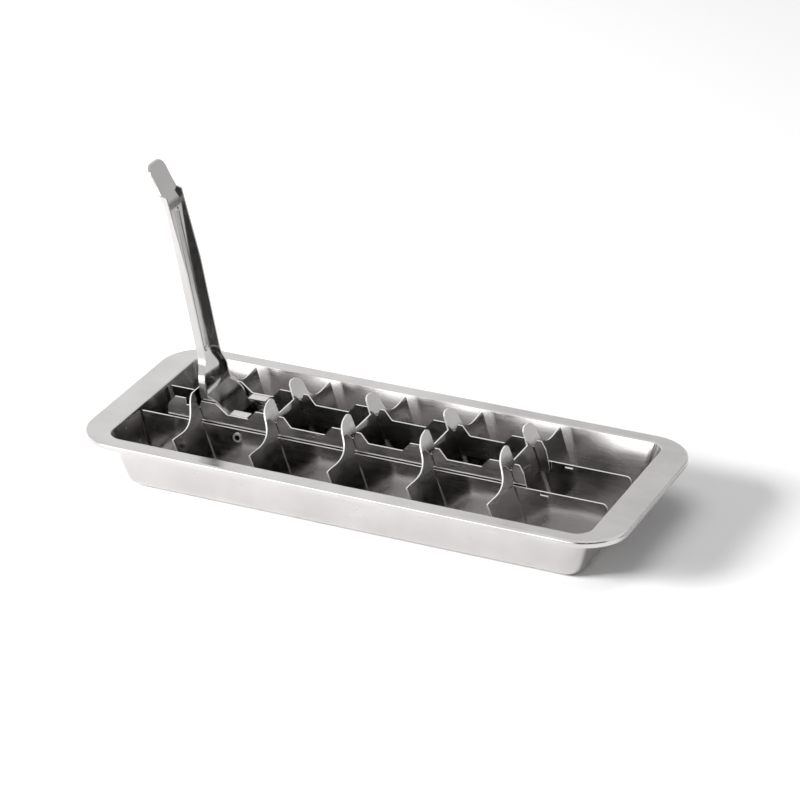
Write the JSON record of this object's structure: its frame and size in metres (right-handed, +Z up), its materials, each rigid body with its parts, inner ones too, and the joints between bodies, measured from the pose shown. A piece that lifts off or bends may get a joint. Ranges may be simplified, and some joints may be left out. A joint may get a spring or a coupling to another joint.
{
  "type": "lever ice cube tray",
  "caption": "Long shallow sheet steel ice tray with a lift-out grid of leaning cross walls that a raised hand lever rocks to free the cubes.",
  "frame": {"origin": "middle of the pan's flat underside, where it rests on the table", "axes": "+X along the tray, away from the lever's end; +Y across the tray; +Z up"},
  "size_m": [0.2778, 0.1174, 0.1497],
  "materials": {
    "pan": "bright rolled stainless sheet with a faint grain",
    "dividers": "bright rolled stainless sheet with a faint grain",
    "slide_bars": "bright rolled stainless sheet with a faint grain",
    "cross_walls": "bright rolled stainless sheet with a faint grain",
    "lever": "bright rolled stainless sheet with a faint grain",
    "rivets": "bright rolled stainless sheet with a faint grain"
  },
  "bodies": {
    "tray": {"pan": "pan"},
    "grid": {"near_divider": "dividers", "far_divider": "dividers", "near_fulcrum_rivet": "rivets", "far_fulcrum_rivet": "rivets"},
    "slide": {"near_slide_bar": "slide_bars", "far_slide_bar": "slide_bars"},
    "lever": {"lever": "lever"},
    "wall_1": {"cross_wall_1": "cross_walls"},
    "wall_2": {"cross_wall_2": "cross_walls"},
    "wall_3": {"cross_wall_3": "cross_walls"},
    "wall_4": {"cross_wall_4": "cross_walls"},
    "wall_5": {"cross_wall_5": "cross_walls"}
  },
  "joints": [
    {"name": "grid_lift", "type": "slide", "parent": "tray", "child": "grid", "axis": [0, 0, 1], "range_m": [0, 0.04]},
    {"name": "lever_hinge", "type": "hinge", "parent": "grid", "child": "lever", "pos_m": [-0.0706, 0, 0.0211], "axis": [0, 1, 0], "range_deg": [0, 97]},
    {"name": "slide_shift", "type": "slide", "parent": "grid", "child": "slide", "axis": [1, 0, 0], "range_m": [0, 0.02124]},
    {"name": "wall_1_rock", "type": "hinge", "parent": "grid", "child": "wall_1", "pos_m": [-0.0812, 0, 0.0022], "axis": [0, 1, 0], "range_deg": [0, 27.5]},
    {"name": "wall_2_rock", "type": "hinge", "parent": "grid", "child": "wall_2", "pos_m": [-0.0406, 0, 0.0022], "axis": [0, 1, 0], "range_deg": [0, 39]},
    {"name": "wall_3_rock", "type": "hinge", "parent": "grid", "child": "wall_3", "pos_m": [0, 0, 0.0022], "axis": [0, 1, 0], "range_deg": [0, 39]},
    {"name": "wall_4_rock", "type": "hinge", "parent": "grid", "child": "wall_4", "pos_m": [0.0406, 0, 0.0022], "axis": [0, 1, 0], "range_deg": [0, 39]},
    {"name": "wall_5_rock", "type": "hinge", "parent": "grid", "child": "wall_5", "pos_m": [0.0812, 0, 0.0022], "axis": [0, 1, 0], "range_deg": [0, 39]}
  ],
  "couplings": [
    {"joint": "slide_shift", "follows": "lever_hinge", "m_per_rad": 0.012548},
    {"joint": "wall_1_rock", "follows": "lever_hinge", "ratio": 0.2835},
    {"joint": "wall_2_rock", "follows": "lever_hinge", "ratio": 0.40206},
    {"joint": "wall_3_rock", "follows": "lever_hinge", "ratio": 0.40206},
    {"joint": "wall_4_rock", "follows": "lever_hinge", "ratio": 0.40206},
    {"joint": "wall_5_rock", "follows": "lever_hinge", "ratio": 0.40206}
  ]
}
